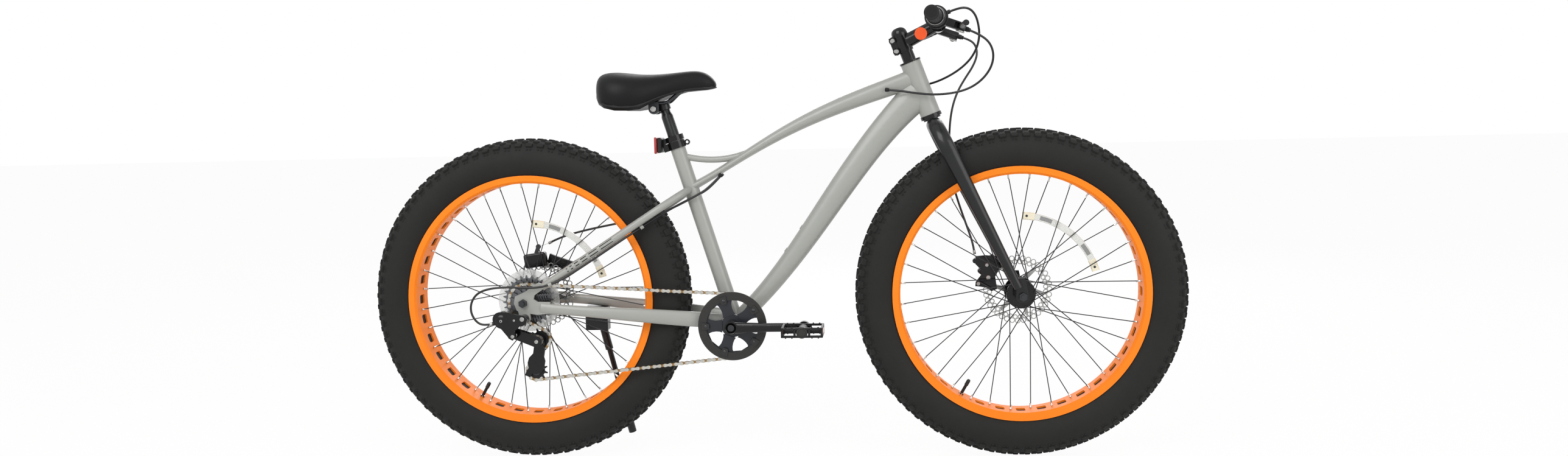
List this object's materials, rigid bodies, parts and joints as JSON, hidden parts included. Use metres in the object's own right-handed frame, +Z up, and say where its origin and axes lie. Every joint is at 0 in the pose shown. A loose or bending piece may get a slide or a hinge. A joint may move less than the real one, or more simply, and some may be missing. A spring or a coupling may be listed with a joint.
{
  "type": "fat tire bike",
  "caption": "Rigid fat tire bike with curved grey tubes, wide orange cut-out rims, knobby tyres, disc brakes, twist shifter, derailleur drive, chain guard and kickstand.",
  "frame": {"origin": "on the ground midway between the two axles", "axes": "+X forward, +Y to the rider's left, +Z up; the drive side is at -Y"},
  "size_m": [1.8796, 0.6696, 1.0101],
  "materials": {
    "frame_paint": "satin silver grey",
    "black_paint": "gloss black",
    "orange_paint": "satin orange",
    "tyre_rubber": "matte",
    "soft_rubber": "matte",
    "black_plastic": "matte",
    "steel": "brushed",
    "dark_steel": "dark zinc",
    "alloy": "cast satin",
    "guard_plastic": "gloss dark grey",
    "clear_plastic": "clear",
    "red_plastic": "prismatic red",
    "saddle_cover": "vinyl-like satin"
  },
  "bodies": {
    "frame": {"head_tube": "frame_paint", "top_tube": "frame_paint", "down_tube": "frame_paint", "seat_tube": "frame_paint", "chain_stays": "frame_paint", "seat_stays": "frame_paint", "bearing_cups": "black_paint", "seat_collar": "black_paint", "rear_reflector": "red_plastic", "rear_caliper": "alloy", "kickstand_bracket": "black_paint", "frame_cables": "black_plastic", "rear_axle": "dark_steel", "derailleur_body": "black_paint", "chain": "steel", "steering_leads": "black_plastic"},
    "steering": {"fork": "black_paint", "headset_spacer": "black_paint", "stem": "black_paint", "stem_bolts": "steel", "handlebar": "black_paint", "grips": "soft_rubber", "bar_controls": "black_plastic", "front_axle": "dark_steel", "front_caliper": "alloy", "front_brake_cable": "black_plastic"},
    "right_lever": {"right_brake_lever": "black_plastic"},
    "left_lever": {"left_brake_lever": "black_plastic"},
    "twist": {"twist_grip": "soft_rubber"},
    "front_arm": {"front_caliper_arm": "dark_steel"},
    "rear_arm": {"rear_caliper_arm": "dark_steel"},
    "front_wheel": {"front_tire": "tyre_rubber", "front_rim": "orange_paint", "front_inner_tube": "soft_rubber", "front_hub": "black_paint", "front_spokes": "dark_steel", "front_rotor": "steel", "front_spoke_reflector": "clear_plastic"},
    "rear_wheel": {"rear_tire": "tyre_rubber", "rear_rim": "orange_paint", "rear_inner_tube": "soft_rubber", "rear_hub": "black_paint", "rear_spokes": "dark_steel", "rear_rotor": "steel", "rear_spoke_reflector": "clear_plastic", "spoke_protector": "clear_plastic"},
    "freewheel": {"freewheel": "dark_steel"},
    "crankset": {"crank_arms": "black_paint", "chainring": "dark_steel", "chain_guard": "guard_plastic"},
    "right_pedal": {"right_pedal": "black_plastic"},
    "left_pedal": {"left_pedal": "black_plastic"},
    "shifting_link": {"derailleur_link": "black_paint"},
    "cage": {"derailleur_cage": "dark_steel"},
    "guide_wheel": {"guide_pulley": "black_plastic"},
    "tension_wheel": {"tension_pulley": "black_plastic"},
    "stand": {"kickstand": "black_paint"},
    "post": {"seat_post": "black_paint"},
    "seat": {"saddle_rails": "dark_steel", "saddle": "saddle_cover"}
  },
  "joints": [
    {"name": "steering", "type": "hinge", "parent": "frame", "child": "steering", "pos_m": [0.36808, 0, 0.78401], "axis": [-0.3486, 0, 0.9373], "range_deg": [-60, 60], "deforming": ["steering_leads"]},
    {"name": "front_wheel_spin", "type": "hinge", "parent": "steering", "child": "front_wheel", "pos_m": [0.565, 0, 0.375], "axis": [0, 1, 0], "continuous": true},
    {"name": "rear_wheel_spin", "type": "hinge", "parent": "frame", "child": "rear_wheel", "pos_m": [-0.565, 0, 0.375], "axis": [0, 1, 0], "continuous": true},
    {"name": "crank_spin", "type": "hinge", "parent": "frame", "child": "crankset", "pos_m": [-0.088, 0, 0.3145], "axis": [0, 1, 0], "continuous": true, "deforming": ["chain"]},
    {"name": "freewheel_spin", "type": "hinge", "parent": "frame", "child": "freewheel", "pos_m": [-0.565, 0, 0.375], "axis": [0, 1, 0], "continuous": true},
    {"name": "right_pedal_spin", "type": "hinge", "parent": "crankset", "child": "right_pedal", "pos_m": [0.077, -0.14, 0.3145], "axis": [0, 1, 0], "continuous": true},
    {"name": "left_pedal_spin", "type": "hinge", "parent": "crankset", "child": "left_pedal", "pos_m": [-0.253, 0.14, 0.3145], "axis": [0, 1, 0], "continuous": true},
    {"name": "shifter_twist", "type": "hinge", "parent": "steering", "child": "twist", "pos_m": [0.37596, -0.21, 0.98577], "axis": [0.1132, 0.9936, 0], "range_deg": [-45, 45], "deforming": ["chain"]},
    {"name": "derailleur_shift", "type": "slide", "parent": "frame", "child": "shifting_link", "axis": [0, 1, 0], "range_m": [-0.014, 0.014], "deforming": ["chain"]},
    {"name": "cage_swing", "type": "hinge", "parent": "shifting_link", "child": "cage", "pos_m": [-0.535, -0.064, 0.288], "axis": [0, 1, 0], "range_deg": [-25, 20], "stiffness_Nm_per_rad": 0.6, "deforming": ["chain"]},
    {"name": "guide_pulley_spin", "type": "hinge", "parent": "shifting_link", "child": "guide_wheel", "pos_m": [-0.535, -0.064, 0.288], "axis": [0, 1, 0], "continuous": true},
    {"name": "tension_pulley_spin", "type": "hinge", "parent": "cage", "child": "tension_wheel", "pos_m": [-0.54693, -0.064, 0.21497], "axis": [0, 1, 0], "continuous": true},
    {"name": "right_lever_pull", "type": "hinge", "parent": "steering", "child": "right_lever", "pos_m": [0.43166, -0.15, 0.96798], "axis": [-0.342, 0, -0.9397], "range_deg": [0, 18], "stiffness_Nm_per_rad": 2},
    {"name": "left_lever_pull", "type": "hinge", "parent": "steering", "child": "left_lever", "pos_m": [0.43166, 0.15, 0.96798], "axis": [0.342, 0, 0.9397], "range_deg": [0, 18], "stiffness_Nm_per_rad": 2},
    {"name": "rear_caliper_pull", "type": "hinge", "parent": "frame", "child": "rear_arm", "pos_m": [-0.584, 0.08, 0.459], "axis": [0, 1, 0], "range_deg": [0, 20]},
    {"name": "front_caliper_pull", "type": "hinge", "parent": "steering", "child": "front_arm", "pos_m": [0.489, 0.064, 0.419], "axis": [0, 1, 0], "range_deg": [0, 20]},
    {"name": "kickstand_fold", "type": "hinge", "parent": "frame", "child": "stand", "pos_m": [-0.428, 0.1, 0.294], "axis": [0, 1, 0], "range_deg": [0, 100]},
    {"name": "seat_post_slide", "type": "slide", "parent": "frame", "child": "post", "axis": [-0.294, 0, 0.9558], "range_m": [-0.04, 0.06]},
    {"name": "saddle_tilt", "type": "hinge", "parent": "post", "child": "seat", "pos_m": [-0.26149, 0, 0.81041], "axis": [0, 1, 0], "range_deg": [-12, 12]}
  ],
  "couplings": [
    {"joint": "freewheel_spin", "follows": "crank_spin", "ratio": 1.8},
    {"joint": "guide_pulley_spin", "follows": "crank_spin", "ratio": -3.2727},
    {"joint": "tension_pulley_spin", "follows": "crank_spin", "ratio": 3.2727},
    {"joint": "shifter_twist", "follows": "derailleur_shift", "rad_per_m": 52.632},
    {"joint": "rear_caliper_pull", "follows": "right_lever_pull", "ratio": 1},
    {"joint": "front_caliper_pull", "follows": "left_lever_pull", "ratio": 1}
  ]
}
